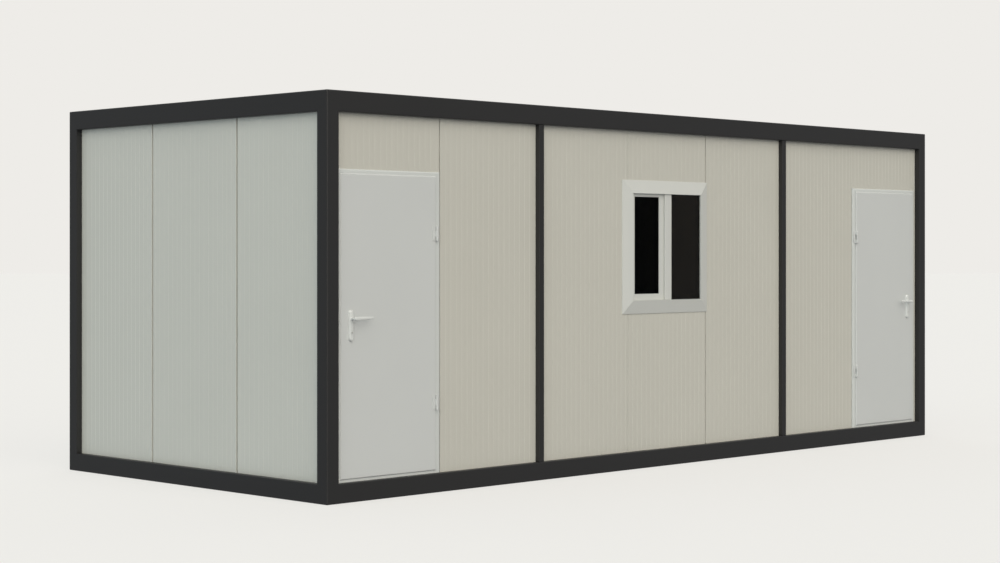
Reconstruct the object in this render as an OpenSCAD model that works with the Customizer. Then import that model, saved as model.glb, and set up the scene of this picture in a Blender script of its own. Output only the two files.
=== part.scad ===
// Portable site cabin: a steel frame filled with wall panels, with a door
// at each end of the front and a window between them.
// Millimetres. The origin is on the ground at the middle of the cabin,
// X runs along the front, the front faces -Y and Z is up.

/* [Cabin] */
// Length over the frame
cabin_l = 7000; // [6000:10:9000]
// Depth over the frame, front to back
cabin_w = 3000; // [2200:10:4000]
// Height over the frame
cabin_h = 2700; // [2500:10:3400]

/* [Frame] */
// Width of each face of a corner post
post_w = 100; // [90:1:160]
// Height of the base beams
base_h = 130; // [110:1:200]
// Height of the roof beams
roof_h = 140; // [110:1:220]
// Thickness of the steel of the beams
steel_t = 4; // [3:1:8]
// Radius of the outer edges of posts and beams
edge_r = 8; // [2:1:16]
// Width of the posts between the corners
mid_post_w = 50; // [30:1:80]
// How far these posts stand behind the face of the beams
mid_post_set = 5; // [0:1:20]

/* [Wall panels] */
// Thickness of a panel
panel_t = 50; // [40:1:50]
// Inner face of the corner posts to the back of the panels
panel_back = 5; // [1:1:10]
// Width of the joint between two panels
panel_gap = 6; // [2:1:12]
// Thickness of the tongue that closes a joint
tongue_t = 26; // [10:1:30]
// Left corner post to the middle of the left front post
left_bay = 1923; // [1750:1:2200]
// Right corner post to the middle of the right front post
right_bay = 1986; // [1750:1:2200]
// Middle of the cabin to the left joint of the window panel
window_joint_left = 490; // [480:1:560]
// Middle of the cabin to the right joint of the window panel
window_joint_right = 437; // [420:1:560]
// Width of the middle panel of an end wall
end_panel_w = 986; // [600:1:1200]
// Number of panels along the back
back_panels = 7; // [5:1:9]

/* [Doors] */
// Width of a door leaf
leaf_w = 850; // [700:1:950]
// Height of a door leaf
leaf_h = 2000; // [1850:1:2100]
// Thickness of a door leaf
leaf_t = 45; // [36:1:50]
// How far the leaf stands out from its frame
leaf_proud = 7; // [3:1:12]
// Bevel round the face of a leaf
leaf_bevel = 7; // [2:1:10]
// Gap over, under and on the hinge side of a leaf
leaf_gap = 5; // [5:1:8]
// Gap on the lock side of a leaf
lock_gap = 7; // [7:1:10]
// Gap between a closed leaf and its stops
stop_gap = 5; // [3:1:8]
// Width of the jambs
jamb_w = 41; // [36:1:60]
// Height of the head of a door frame
head_h = 30; // [20:1:60]
// Height of the sill of a door frame
sill_h = 20; // [15:1:40]
// How far a door frame stands out from the panels
frame_proud = 8; // [3:1:20]
// Bevel round the face of a door frame
frame_bevel = 8; // [2:1:12]
// How far a door frame stands out inside the cabin
frame_lip = 5; // [1:1:20]
// Width of the stops that the leaf closes against
stop_w = 20; // [10:1:30]
// Panel strip between the right door and the corner post
right_strip = 24; // [20:1:150]

/* [Hinges] */
// Height of the middle of the lower hinge
hinge_low_z = 615; // [300:1:800]
// Height of the middle of the upper hinge
hinge_high_z = 1770; // [1400:1:1900]
// Length of a hinge
hinge_l = 100; // [80:1:140]
// Diameter of a hinge knuckle
knuckle_d = 16; // [14:1:20]
// Length of the middle knuckle
knuckle_l = 40; // [20:1:50]
// Diameter of the hinge pin
pin_d = 8; // [5:1:9]
// Thickness of the hinge flaps
flap_t = 3; // [2:1:4]
// Width of the hinge flaps
flap_w = 25; // [15:1:26]

/* [Handles] */
// Height of the lever's turning axis
lever_z = 1205; // [900:1:1300]
// Edge of the leaf to the lever's turning axis
lever_back = 80; // [50:1:120]
// Width of a handle plate
plate_w = 42; // [34:1:60]
// Height of a handle plate
plate_h = 206; // [160:1:260]
// Thickness of a handle plate
plate_t = 14; // [5:1:18]
// Turning axis to the top of the plate
plate_over = 57; // [30:1:80]
// Turning axis down to the key cylinder
cylinder_drop = 92; // [60:1:110]
// Diameter of the key cylinder
cylinder_d = 17; // [12:1:22]
// How far the key cylinder stands out of the plate
cylinder_proud = 3; // [1:1:6]
// Length of the lever from its axis
lever_l = 155; // [90:1:180]
// Height of the lever's bar
bar_h = 24; // [14:1:30]
// Thickness of the lever's bar
bar_t = 12; // [8:1:16]
// Plate to the far face of the bar
lever_stand = 47; // [38:1:60]
// Diameter of the lever's neck
neck_d = 18; // [12:1:20]
// Diameter of the spindle
spindle_d = 10; // [8:1:11]

/* [Window] */
// Middle of the cabin to the middle of the window, to the left
window_off = 57; // [40:1:64]
// Width of the window opening
window_w = 804; // [650:1:820]
// Height of the window opening
window_h = 813; // [500:1:1000]
// Width of the outside casing
casing_w = 102; // [60:1:130]
// Thickness of the casing at its outer edge
casing_edge_t = 5; // [3:1:10]
// Rise of the casing from its outer to its inner edge
casing_rise = 24; // [10:1:30]
// Thickness of the lining of the opening
lining_t = 10; // [5:1:12]
// Width of the casing inside the cabin
trim_w = 60; // [30:1:90]
// Thickness of the casing inside the cabin
trim_t = 8; // [4:1:12]
// Width of the upright between the two lights
mullion_w = 78; // [40:1:90]
// Middle of the cabin to the left edge of the upright
mullion_off = 79; // [60:1:120]
// How far the upright stands out from the panels
mullion_proud = 19; // [18:1:25]
// Thickness of the upright
mullion_t = 12; // [6:1:12]
// How far the fixed glass stands out from the panels
fixed_glass_proud = 15; // [5:1:18]
// Thickness of a glass unit
glass_t = 18; // [6:1:20]
// How far the sash stands out from the panels
sash_proud = 5; // [0:1:6]
// Thickness of the sash
sash_t = 26; // [22:1:30]
// Width of the outer stile of the sash
sash_stile_w = 40; // [30:1:60]
// Width of the sash stile behind the upright
sash_meet_w = 88; // [60:1:95]
// How far this stile reaches behind the upright
sash_lap = 34; // [15:1:40]
// Height of the sash's top rail
sash_top_h = 24; // [20:1:60]
// Height of the sash's bottom rail
sash_bottom_h = 48; // [30:1:70]

/* [Floor and roof] */
// Thickness of the floor deck
deck_t = 20; // [15:1:28]
// Height of the floor joists
joist_h = 80; // [50:1:80]
// Width of the floor joists
joist_w = 40; // [30:1:60]
// Spacing of the floor joists
joist_pitch = 486; // [350:1:700]
// Number of roof panels
roof_panels_n = 7; // [5:1:9]
// Thickness of a roof panel between its ribs
roof_panel_t = 60; // [40:1:60]
// Height of the roof ribs
rib_h = 34; // [15:1:40]
// Width of a roof rib at its foot
rib_foot_w = 64; // [40:1:90]
// Width of a roof rib at its crest
rib_crest_w = 30; // [15:1:38]
// Number of ribs on each roof panel
ribs_n = 3; // [1:1:4]

/* [Fits] */
// Clearance between fixed pieces
fit = 0.3; // [0.1:0.1:0.5]
// Clearance round the pins and spindles
pin_fit = 0.08; // [0.05:0.01:0.1]
// Clearance between two hinge knuckles
knuckle_gap = 0.5; // [0.3:0.1:1]
// Clearance of a spindle in its leaf
bore_fit = 3; // [1:0.5:4]

/* [Hidden] */
$fn = 48;

// Colours
frame_grey = "#333435";
panel_cream = "#D9D6C6";
door_grey = "#DEDEDA";
white_metal = "#E6E6E2";
white_plastic = "#ECECE8";
glass_dark = "#202422";
zinc = "#A9ADB0";
board_brown = "#8A6A48";

// The panelled rectangle, between the corner posts and the beams
span_l = cabin_l - 2 * post_w;
span_w = cabin_w - 2 * post_w;
wall_z0 = base_h;
wall_z1 = cabin_h - roof_h;
wall_h = wall_z1 - wall_z0;

// Depth of the face of the panels behind the face of the frame
panel_set = post_w - panel_back - panel_t;

// Joints along the front
left_post_x = -span_l / 2 + left_bay;
right_post_x = span_l / 2 - right_bay;

// A door unit, measured from the middle of its leaf
hinge_side = leaf_w / 2 + leaf_gap;
lock_side = leaf_w / 2 + lock_gap;
frame_set = panel_set - frame_proud;
frame_t = frame_proud + panel_t + frame_lip;
leaf_set = frame_set - leaf_proud;
leaf_z0 = base_h + sill_h + leaf_gap;
head_z = leaf_z0 + leaf_h + leaf_gap;
frame_z1 = head_z + head_h;
stop_set = leaf_set + leaf_t + stop_gap;
stop_t = frame_set + frame_t - stop_set;
left_door_x = -span_l / 2 + fit + lock_side + jamb_w;
right_door_x = span_l / 2 - right_strip - lock_side - jamb_w;
left_door_joint = left_door_x + hinge_side + jamb_w + panel_gap / 2;
right_door_joint = right_door_x - hinge_side - jamb_w - panel_gap / 2;

// The hinge axis, in the gap beside the leaf and clear of its face
axis_x = leaf_w / 2 + leaf_gap / 2;
knuckle_back = 1;
axis_set = leaf_set - knuckle_d / 2 - knuckle_back;
web_in = 2;
flap_clear = 1;
flap_x = knuckle_d / 2 + flap_clear;
lever_x = -leaf_w / 2 + lever_back;

// The window, with its casing level with the heads of the doors
window_x0 = -window_off - window_w / 2;
window_x1 = -window_off + window_w / 2;
window_z1 = frame_z1 - casing_w;
window_z0 = window_z1 - window_h;
mullion_set = panel_set - mullion_proud;
fixed_glass_set = panel_set - fixed_glass_proud;
sash_set = panel_set - sash_proud;
sash_x1 = -mullion_off + sash_lap;
sash_glass_inset = 6;

// Floor and roof
deck_z0 = base_h - deck_t;
joist_z0 = deck_z0 - joist_h;
joist_n = floor(span_l / joist_pitch - 0.5);
ceiling_z = wall_z1 + steel_t;

// Turns a front that lies along X into the front of the cabin
module on_front() {
    translate([0, -cabin_w / 2, 0]) children();
}

// The same for the back
module on_back() {
    mirror([0, 1, 0]) on_front() children();
}

// The same for the left end
module on_left_end() {
    translate([-cabin_l / 2, 0, 0]) rotate([0, 0, -90]) children();
}

// The same for the right end
module on_right_end() {
    mirror([1, 0, 0]) on_left_end() children();
}

// A channel seen from its end, with its web in front and rounded edges
module channel_outline(height) {
    difference() {
        union() {
            translate([edge_r, 0]) square([post_w - edge_r, height]);
            translate([0, edge_r]) square([edge_r, height - 2 * edge_r]);
            translate([edge_r, edge_r]) circle(edge_r);
            translate([edge_r, height - edge_r]) circle(edge_r);
        }
        translate([steel_t, steel_t]) square([post_w, height - 2 * steel_t]);
    }
}

// A beam that lies along X from -length / 2, with its face at y = 0
module channel_beam(length, height, z) {
    translate([-length / 2, 0, z]) rotate([90, 0, 90])
        linear_extrude(length) channel_outline(height);
}

module base_side_beams() {
    color(frame_grey) {
        on_front() channel_beam(span_l, base_h, 0);
        on_back() channel_beam(span_l, base_h, 0);
    }
}

module base_end_beams() {
    color(frame_grey) {
        on_left_end() channel_beam(span_w, base_h, 0);
        on_right_end() channel_beam(span_w, base_h, 0);
    }
}

module roof_side_beams() {
    color(frame_grey) {
        on_front() channel_beam(span_l, roof_h, wall_z1);
        on_back() channel_beam(span_l, roof_h, wall_z1);
    }
}

module roof_end_beams() {
    color(frame_grey) {
        on_left_end() channel_beam(span_w, roof_h, wall_z1);
        on_right_end() channel_beam(span_w, roof_h, wall_z1);
    }
}

// The front left corner post, which is mirrored to the other corners
module corner_post() {
    color(frame_grey) translate([-cabin_l / 2, -cabin_w / 2, 0])
        linear_extrude(cabin_h) {
            translate([edge_r, 0]) square([post_w - edge_r, post_w]);
            translate([0, edge_r]) square([edge_r, post_w - edge_r]);
            translate([edge_r, edge_r]) circle(edge_r);
        }
}

module front_left_post() {
    corner_post();
}

module front_right_post() {
    mirror([1, 0, 0]) corner_post();
}

module back_left_post() {
    mirror([0, 1, 0]) corner_post();
}

module back_right_post() {
    mirror([1, 0, 0]) mirror([0, 1, 0]) corner_post();
}

// A post in front of the joint of two panels
module mid_post(x) {
    translate([x - mid_post_w / 2, mid_post_set, wall_z0])
        cube([mid_post_w, panel_set - mid_post_set, wall_h]);
}

module front_mid_posts() {
    color(frame_grey) on_front() {
        mid_post(left_post_x);
        mid_post(right_post_x);
    }
}

// The back posts stand two panels in from each corner
module back_mid_posts() {
    color(frame_grey) on_back() {
        mid_post(-span_l / 2 + 2 * span_l / back_panels);
        mid_post(span_l / 2 - 2 * span_l / back_panels);
    }
}

// A panel from x0 to x1, with a tongue that closes the joint at x1
module tongued_panel(x0, x1, z0, z1) {
    tongue_x = x1 + panel_gap - fit;
    tongue_y0 = panel_set + (panel_t - tongue_t) / 2;
    tongue_y1 = tongue_y0 + tongue_t;
    panel_y1 = panel_set + panel_t;
    translate([0, 0, z0]) linear_extrude(z1 - z0) polygon([
        [x0, panel_set], [x1, panel_set], [x1, tongue_y0], [tongue_x, tongue_y0],
        [tongue_x, tongue_y1], [x1, tongue_y1], [x1, panel_y1], [x0, panel_y1]
    ]);
}

// A panel with plain edges
module plain_panel(x0, x1, z0, z1) {
    translate([x0, panel_set, z0]) cube([x1 - x0, panel_t, z1 - z0]);
}

// Panels between the joints in the list, from one corner post to the other
module panel_row(joints) {
    last = len(joints) - 2;
    for (i = [0 : last]) {
        x0 = joints[i] + (i == 0 ? fit : panel_gap / 2);
        if (i < last)
            tongued_panel(x0, joints[i + 1] - panel_gap / 2, wall_z0, wall_z1);
        else
            plain_panel(x0, joints[i + 1] - fit, wall_z0, wall_z1);
    }
}

module panel_over_left_door() {
    color(panel_cream) on_front() tongued_panel(
        -span_l / 2 + fit, left_door_joint - panel_gap / 2, frame_z1, wall_z1);
}

module panel_beside_left_door() {
    color(panel_cream) on_front() tongued_panel(
        left_door_joint + panel_gap / 2, left_post_x - panel_gap / 2,
        wall_z0, wall_z1);
}

module panel_left_of_window() {
    color(panel_cream) on_front() tongued_panel(
        left_post_x + panel_gap / 2, -window_joint_left - panel_gap / 2,
        wall_z0, wall_z1);
}

module window_panel() {
    hole_x0 = window_x0 - lining_t - fit;
    hole_z0 = window_z0 - lining_t - fit;
    color(panel_cream) on_front() difference() {
        tongued_panel(
            -window_joint_left + panel_gap / 2,
            window_joint_right - panel_gap / 2, wall_z0, wall_z1);
        translate([hole_x0, 0, hole_z0]) cube([
            window_w + 2 * (lining_t + fit), cabin_w / 2,
            window_h + 2 * (lining_t + fit)]);
    }
}

module panel_right_of_window() {
    color(panel_cream) on_front() tongued_panel(
        window_joint_right + panel_gap / 2, right_post_x - panel_gap / 2,
        wall_z0, wall_z1);
}

module panel_beside_right_door() {
    color(panel_cream) on_front() plain_panel(
        right_post_x + panel_gap / 2, right_door_joint - panel_gap / 2,
        wall_z0, wall_z1);
}

// The panel over the door and the strip between the door and the corner
module panel_over_right_door() {
    strip_x = span_l / 2 - right_strip;
    color(panel_cream) on_front() {
        plain_panel(right_door_joint - panel_gap / 2 + fit, strip_x - fit,
            frame_z1, wall_z1);
        plain_panel(strip_x, span_l / 2 - fit, wall_z0, wall_z1);
    }
}

end_joints = [-span_w / 2, -end_panel_w / 2, end_panel_w / 2, span_w / 2];

module left_wall_panels() {
    color(panel_cream) on_left_end() panel_row(end_joints);
}

module right_wall_panels() {
    color(panel_cream) on_right_end() panel_row(end_joints);
}

module back_wall_panels() {
    color(panel_cream) on_back() panel_row(
        [for (i = [0 : back_panels]) -span_l / 2 + i * span_l / back_panels]);
}

module floor_deck() {
    color(board_brown)
        translate([-span_l / 2 + fit, -span_w / 2 + fit, deck_z0])
            cube([span_l - 2 * fit, span_w - 2 * fit, deck_t]);
}

// The joists reach into the channels of the side beams
module floor_joists() {
    joist_l = cabin_w - 2 * steel_t - 2 * fit;
    color(zinc) for (i = [0 : joist_n - 1])
        translate([(i - (joist_n - 1) / 2) * joist_pitch - joist_w / 2,
            -joist_l / 2, joist_z0])
            cube([joist_w, joist_l, joist_h]);
}

// A roof panel seen from its end, from x = 0 to its width
module roof_panel_outline(width, tongue) {
    square([width, roof_panel_t]);
    if (tongue)
        translate([width - 1, (roof_panel_t - tongue_t) / 2])
            square([1 + panel_gap - fit, tongue_t]);
    for (i = [0 : ribs_n - 1])
        translate([width * (i + 0.5) / ribs_n, 0]) polygon([
            [-rib_foot_w / 2, roof_panel_t - 1],
            [rib_foot_w / 2, roof_panel_t - 1],
            [rib_foot_w / 2, roof_panel_t],
            [rib_crest_w / 2, roof_panel_t + rib_h],
            [-rib_crest_w / 2, roof_panel_t + rib_h],
            [-rib_foot_w / 2, roof_panel_t]
        ]);
}

// The roof panels rest on the lower flanges of the roof beams
module roof_panels() {
    covered_l = cabin_l - 2 * steel_t - 2 * fit;
    covered_w = cabin_w - 2 * steel_t - 2 * fit;
    pitch = covered_l / roof_panels_n;
    color(zinc) intersection() {
        for (i = [0 : roof_panels_n - 1])
            translate([-covered_l / 2 + i * pitch, covered_w / 2, ceiling_z])
                rotate([90, 0, 0]) linear_extrude(covered_w)
                    roof_panel_outline(pitch - panel_gap, i < roof_panels_n - 1);
        roof_space();
    }
}

// The room for the roof panels between the corner posts
module roof_space() {
    deep = roof_panel_t + rib_h;
    translate([-cabin_l / 2, -span_w / 2 + fit, ceiling_z])
        cube([cabin_l, span_w - 2 * fit, deep]);
    translate([-span_l / 2 + fit, -cabin_w / 2, ceiling_z])
        cube([span_l - 2 * fit, cabin_w, deep]);
}

// Puts a door unit in place: x from the middle of its leaf, hinges at +x
module at_left_door() {
    on_front() translate([left_door_x, 0, 0]) children();
}

module at_right_door() {
    on_front() translate([right_door_x, 0, 0]) mirror([1, 0, 0]) children();
}

// A slab from x0 to x1 with its face at y = 0 and a bevel round the face
module bevelled_slab(x0, x1, height, thick, bevel) {
    intersection() {
        linear_extrude(height) polygon([
            [x0, thick], [x0, bevel], [x0 + bevel, 0],
            [x1 - bevel, 0], [x1, bevel], [x1, thick]
        ]);
        translate([x0, 0, 0]) rotate([90, 0, 90])
            linear_extrude(x1 - x0) polygon([
                [thick, 0], [bevel, 0], [0, bevel],
                [0, height - bevel], [bevel, height], [thick, height]
            ]);
    }
}

// Jambs, head and sill are cut from one bevelled frame
module door_frame() {
    full_h = frame_z1 - base_h;
    x0 = -lock_side - jamb_w;
    x1 = hinge_side + jamb_w;
    inner_w = hinge_side + lock_side - 2 * fit;
    color(white_metal) translate([0, frame_set, base_h]) intersection() {
        bevelled_slab(x0, x1, full_h, frame_t, frame_bevel);
        union() {
            translate([x0, 0, 0]) cube([jamb_w, frame_t, full_h]);
            translate([hinge_side, 0, 0]) cube([jamb_w, frame_t, full_h]);
            translate([-lock_side + fit, 0, 0])
                cube([inner_w, frame_t, sill_h]);
            translate([-lock_side + fit, 0, full_h - head_h])
                cube([inner_w, frame_t, head_h]);
        }
    }
}

// The stops stand behind the closed leaf, on the jambs and under the head
module door_stops() {
    stop_z0 = base_h + sill_h;
    stop_l = head_z - stop_z0;
    color(white_metal) translate([0, stop_set, stop_z0]) {
        translate([-lock_side, 0, 0]) cube([stop_w, stop_t, stop_l]);
        translate([hinge_side - stop_w, 0, 0]) cube([stop_w, stop_t, stop_l]);
        translate([-lock_side + stop_w + fit, 0, stop_l - stop_w])
            cube([hinge_side + lock_side - 2 * stop_w - 2 * fit, stop_t, stop_w]);
    }
}

module door_leaf() {
    color(door_grey) difference() {
        translate([0, leaf_set, leaf_z0])
            bevelled_slab(-leaf_w / 2, leaf_w / 2, leaf_h, leaf_t, leaf_bevel);
        translate([lever_x, 0, lever_z]) rotate([-90, 0, 0])
            cylinder(d = spindle_d + 2 * bore_fit, h = 2 * panel_set + leaf_t);
    }
}

// Puts a part of a hinge at each of its two places, with the axis at x = 0
module at_hinges() {
    for (z = [hinge_low_z, hinge_high_z])
        translate([axis_x, axis_set, z]) children();
}

// A knuckle from z0 up, with the web that joins it to a flap at y = back
module knuckle(z0, length, side, back) {
    web_x = side > 0 ? web_in : -flap_x - web_in;
    translate([0, 0, z0]) {
        cylinder(d = knuckle_d, h = length);
        translate([web_x, 0, 0]) cube([flap_x, back, length]);
    }
}

// A flap on a face at y = back
module hinge_flap(side, back) {
    flap_x0 = side > 0 ? flap_x : -flap_x - flap_w;
    translate([flap_x0, back - flap_t, -hinge_l / 2])
        cube([flap_w, flap_t, hinge_l]);
}

// The fixed half: two knuckles, the pin and the flap on the door frame
module hinge_posts() {
    back = frame_set - axis_set;
    end_l = (hinge_l - knuckle_l) / 2 - knuckle_gap;
    color(white_metal) at_hinges() {
        translate([0, 0, -hinge_l / 2]) cylinder(d = pin_d, h = hinge_l);
        knuckle(-hinge_l / 2, end_l, 1, back);
        knuckle(hinge_l / 2 - end_l, end_l, 1, back);
        hinge_flap(1, back);
    }
}

// The moving half: the middle knuckle and the flap on the leaf
module hinge_flaps() {
    back = leaf_set - axis_set;
    color(white_metal) at_hinges() difference() {
        union() {
            knuckle(-knuckle_l / 2, knuckle_l, -1, back);
            hinge_flap(-1, back);
        }
        translate([0, 0, -hinge_l]) cylinder(d = pin_d + 2 * pin_fit, h = 2 * hinge_l);
    }
}

// Puts a piece of the handle on the outside of the leaf, and a mirrored
// copy inside: y = 0 is the face of the leaf and -y stands away from it
module on_both_faces() {
    translate([lever_x, leaf_set, lever_z]) children();
    translate([lever_x, leaf_set + leaf_t, lever_z]) mirror([0, 1, 0]) children();
}

// A plate with round ends, its key cylinder and the bore for the spindle
module handle_plates() {
    top_z = plate_over - plate_w / 2;
    foot_z = plate_over - plate_h + plate_w / 2;
    color(white_metal) on_both_faces() difference() {
        union() {
            rotate([90, 0, 0]) linear_extrude(plate_t) {
                translate([-plate_w / 2, foot_z]) square([plate_w, top_z - foot_z]);
                translate([0, top_z]) circle(d = plate_w);
                translate([0, foot_z]) circle(d = plate_w);
            }
            translate([0, 0, -cylinder_drop]) rotate([90, 0, 0])
                cylinder(d = cylinder_d, h = plate_t + cylinder_proud);
        }
        translate([0, plate_t, 0]) rotate([90, 0, 0])
            cylinder(d = spindle_d + 2 * pin_fit, h = 3 * plate_t);
    }
}

// The outside and inside levers turn as one on their spindle
module door_lever() {
    neck_l = lever_stand - bar_t - fit;
    color(white_metal) {
        on_both_faces() {
            translate([0, -plate_t - fit, 0]) rotate([90, 0, 0])
                cylinder(d = neck_d, h = neck_l + bar_t / 2);
            translate([0, -plate_t - lever_stand + bar_t, 0]) rotate([90, 0, 0])
                linear_extrude(bar_t) {
                    circle(d = bar_h);
                    translate([0, -bar_h / 2]) square([lever_l - bar_h / 2, bar_h]);
                    translate([lever_l - bar_h / 2, 0]) circle(d = bar_h);
                }
        }
        translate([lever_x, leaf_set - plate_t - lever_stand / 2, lever_z])
            rotate([-90, 0, 0])
                cylinder(d = spindle_d, h = leaf_t + 2 * plate_t + lever_stand);
    }
}

module left_door_frame() {
    at_left_door() door_frame();
}

module left_door_stops() {
    at_left_door() door_stops();
}

module left_door_leaf() {
    at_left_door() door_leaf();
}

module left_hinge_posts() {
    at_left_door() hinge_posts();
}

module left_hinge_flaps() {
    at_left_door() hinge_flaps();
}

module left_handle_plates() {
    at_left_door() handle_plates();
}

module left_door_lever() {
    at_left_door() door_lever();
}

module right_door_frame() {
    at_right_door() door_frame();
}

module right_door_stops() {
    at_right_door() door_stops();
}

module right_door_leaf() {
    at_right_door() door_leaf();
}

module right_hinge_posts() {
    at_right_door() hinge_posts();
}

module right_hinge_flaps() {
    at_right_door() hinge_flaps();
}

module right_handle_plates() {
    at_right_door() handle_plates();
}

module right_door_lever() {
    at_right_door() door_lever();
}

// One side of the outside casing: its inner edge lies along X at z = 0,
// it slopes down to its outer edge, and both ends are mitred
module casing_side(inner_l) {
    reach = inner_l / 2 + casing_w;
    half = inner_l / 2 - fit / 2;
    intersection() {
        translate([-reach, 0, 0]) rotate([90, 0, 90])
            linear_extrude(2 * reach) polygon([
                [0, 0], [-casing_edge_t - casing_rise, 0],
                [-casing_edge_t, casing_w], [0, casing_w]
            ]);
        rotate([90, 0, 0]) linear_extrude(casing_edge_t + casing_rise) polygon([
            [-half, 0], [half, 0],
            [half + casing_w, casing_w], [-half - casing_w, casing_w]
        ]);
    }
}

module window_casing() {
    middle_z = (window_z0 + window_z1) / 2;
    color(white_plastic) on_front()
        translate([-window_off, panel_set, middle_z])
            for (turn = [0 : 3])
                rotate([0, turn * 90, 0])
                    translate([0, 0, (turn % 2 == 0 ? window_h : window_w) / 2])
                        casing_side(turn % 2 == 0 ? window_w : window_h);
}

// Four straight bars round the opening, from its edge outwards
module bars_round_opening(width, y, thick) {
    full_w = window_w + 2 * width;
    for (z = [window_z0 - width, window_z1])
        translate([window_x0 - width, y, z]) cube([full_w, thick, width]);
    for (x = [window_x0 - width, window_x1])
        translate([x, y, window_z0 + fit]) cube([width, thick, window_h - 2 * fit]);
}

module window_lining() {
    color(white_plastic) on_front()
        bars_round_opening(lining_t, panel_set, panel_t);
}

module window_inside_casing() {
    color(white_plastic) on_front()
        bars_round_opening(trim_w, panel_set + panel_t, trim_t);
}

module window_upright() {
    color(white_plastic) on_front()
        translate([-mullion_off, mullion_set, window_z0 + fit])
            cube([mullion_w, mullion_t, window_h - 2 * fit]);
}

module window_fixed_glass() {
    x0 = mullion_w - mullion_off + fit;
    color(glass_dark) on_front()
        translate([x0, fixed_glass_set, window_z0 + fit])
            cube([window_x1 - fit - x0, glass_t, window_h - 2 * fit]);
}

// The pane of the sash, as the hole in the sash and as its glass
module sash_pane(clear, y, thick) {
    x0 = window_x0 + fit + sash_stile_w + clear;
    x1 = sash_x1 - sash_meet_w - clear;
    z0 = window_z0 + fit + sash_bottom_h + clear;
    z1 = window_z1 - fit - sash_top_h - clear;
    translate([x0, y, z0]) cube([x1 - x0, thick, z1 - z0]);
}

module window_sash() {
    color(white_plastic) on_front() difference() {
        translate([window_x0 + fit, sash_set, window_z0 + fit])
            cube([sash_x1 - window_x0 - fit, sash_t, window_h - 2 * fit]);
        sash_pane(0, 0, cabin_w / 2);
    }
}

module window_sash_glass() {
    color(glass_dark) on_front()
        sash_pane(fit, sash_set + sash_glass_inset, glass_t);
}

base_side_beams();
base_end_beams();
roof_side_beams();
roof_end_beams();
front_left_post();
front_right_post();
back_left_post();
back_right_post();
front_mid_posts();
back_mid_posts();
panel_over_left_door();
panel_beside_left_door();
panel_left_of_window();
window_panel();
panel_right_of_window();
panel_beside_right_door();
panel_over_right_door();
left_wall_panels();
right_wall_panels();
back_wall_panels();
floor_deck();
floor_joists();
roof_panels();
left_door_frame();
left_door_stops();
left_door_leaf();
left_hinge_posts();
left_hinge_flaps();
left_handle_plates();
left_door_lever();
right_door_frame();
right_door_stops();
right_door_leaf();
right_hinge_posts();
right_hinge_flaps();
right_handle_plates();
right_door_lever();
window_casing();
window_lining();
window_upright();
window_sash();
window_sash_glass();
window_fixed_glass();
window_inside_casing();
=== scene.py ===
"""Looks of the portable site cabin: painted steel frame, ribbed panels, two doors and a window."""

import math

import bmesh
import bpy
import numpy as np
from mathutils import Matrix, Vector


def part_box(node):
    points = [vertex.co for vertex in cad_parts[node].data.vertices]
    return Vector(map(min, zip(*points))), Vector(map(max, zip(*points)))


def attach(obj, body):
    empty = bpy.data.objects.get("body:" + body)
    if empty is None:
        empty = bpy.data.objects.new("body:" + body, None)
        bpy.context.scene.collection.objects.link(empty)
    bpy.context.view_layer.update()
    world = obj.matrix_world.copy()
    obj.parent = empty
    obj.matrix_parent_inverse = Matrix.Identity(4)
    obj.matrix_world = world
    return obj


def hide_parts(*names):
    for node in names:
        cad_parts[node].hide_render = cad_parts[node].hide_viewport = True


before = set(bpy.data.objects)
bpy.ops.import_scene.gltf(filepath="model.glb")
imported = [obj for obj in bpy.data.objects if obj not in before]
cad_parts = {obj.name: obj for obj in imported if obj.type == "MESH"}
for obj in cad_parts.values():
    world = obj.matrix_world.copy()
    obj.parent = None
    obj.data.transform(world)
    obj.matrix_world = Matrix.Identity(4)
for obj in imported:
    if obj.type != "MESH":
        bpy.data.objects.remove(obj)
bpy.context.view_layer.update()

MM = 0.001
SEAT = 0.3 * MM          # clearance between two pieces that rest on each other
SMOOTH_ANGLE = 25.0      # edges sharper than this stay crisp
HAIR = 0.01 * MM         # a shorter distance counts as none


# ---------------------------------------------------------------- small tools

def srgb(code, alpha=1.0):
    """A hex colour as linear values."""
    parts = [int(code[i:i + 2], 16) / 255 for i in (1, 3, 5)]
    return tuple(c / 12.92 if c <= 0.04045 else ((c + 0.055) / 1.055) ** 2.4
                 for c in parts) + (alpha,)


def toned(code, factor):
    """A hex colour made lighter or darker by a factor."""
    return tuple(c * factor for c in srgb(code)[:3]) + (1.0,)


def add(tree, kind, inputs=None, **settings):
    """Adds a node with its settings; an input is a value or the socket that feeds it."""
    made = tree.nodes.new(kind)
    for name, value in settings.items():
        setattr(made, name, value)
    for socket, value in (inputs or {}).items():
        if isinstance(value, bpy.types.NodeSocket):
            tree.links.new(value, made.inputs[socket])
        else:
            made.inputs[socket].default_value = value
    return made


def group(name, sockets):
    """An empty Geometry Nodes tree with its named inputs and one geometry output."""
    tree = bpy.data.node_groups.new(name, "GeometryNodeTree")
    for label, kind in sockets.items():
        tree.interface.new_socket(label, in_out="INPUT", socket_type=kind)
    tree.interface.new_socket("Geometry", in_out="OUTPUT", socket_type="NodeSocketGeometry")
    return tree


def grown(name, tree, inputs, source=None):
    """The plain mesh that a Geometry Nodes tree makes from a source mesh."""
    carrier = bpy.data.objects.new(name, source or bpy.data.meshes.new(name))
    bpy.context.scene.collection.objects.link(carrier)
    modifier = carrier.modifiers.new(tree.name, "NODES")
    modifier.node_group = tree
    for item in tree.interface.items_tree:
        if item.in_out == "INPUT" and item.name in inputs:
            modifier[item.identifier] = inputs[item.name]
    bpy.context.view_layer.update()
    ready = carrier.evaluated_get(bpy.context.evaluated_depsgraph_get())
    mesh = bpy.data.meshes.new_from_object(ready)
    bpy.data.objects.remove(carrier)
    return mesh


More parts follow.
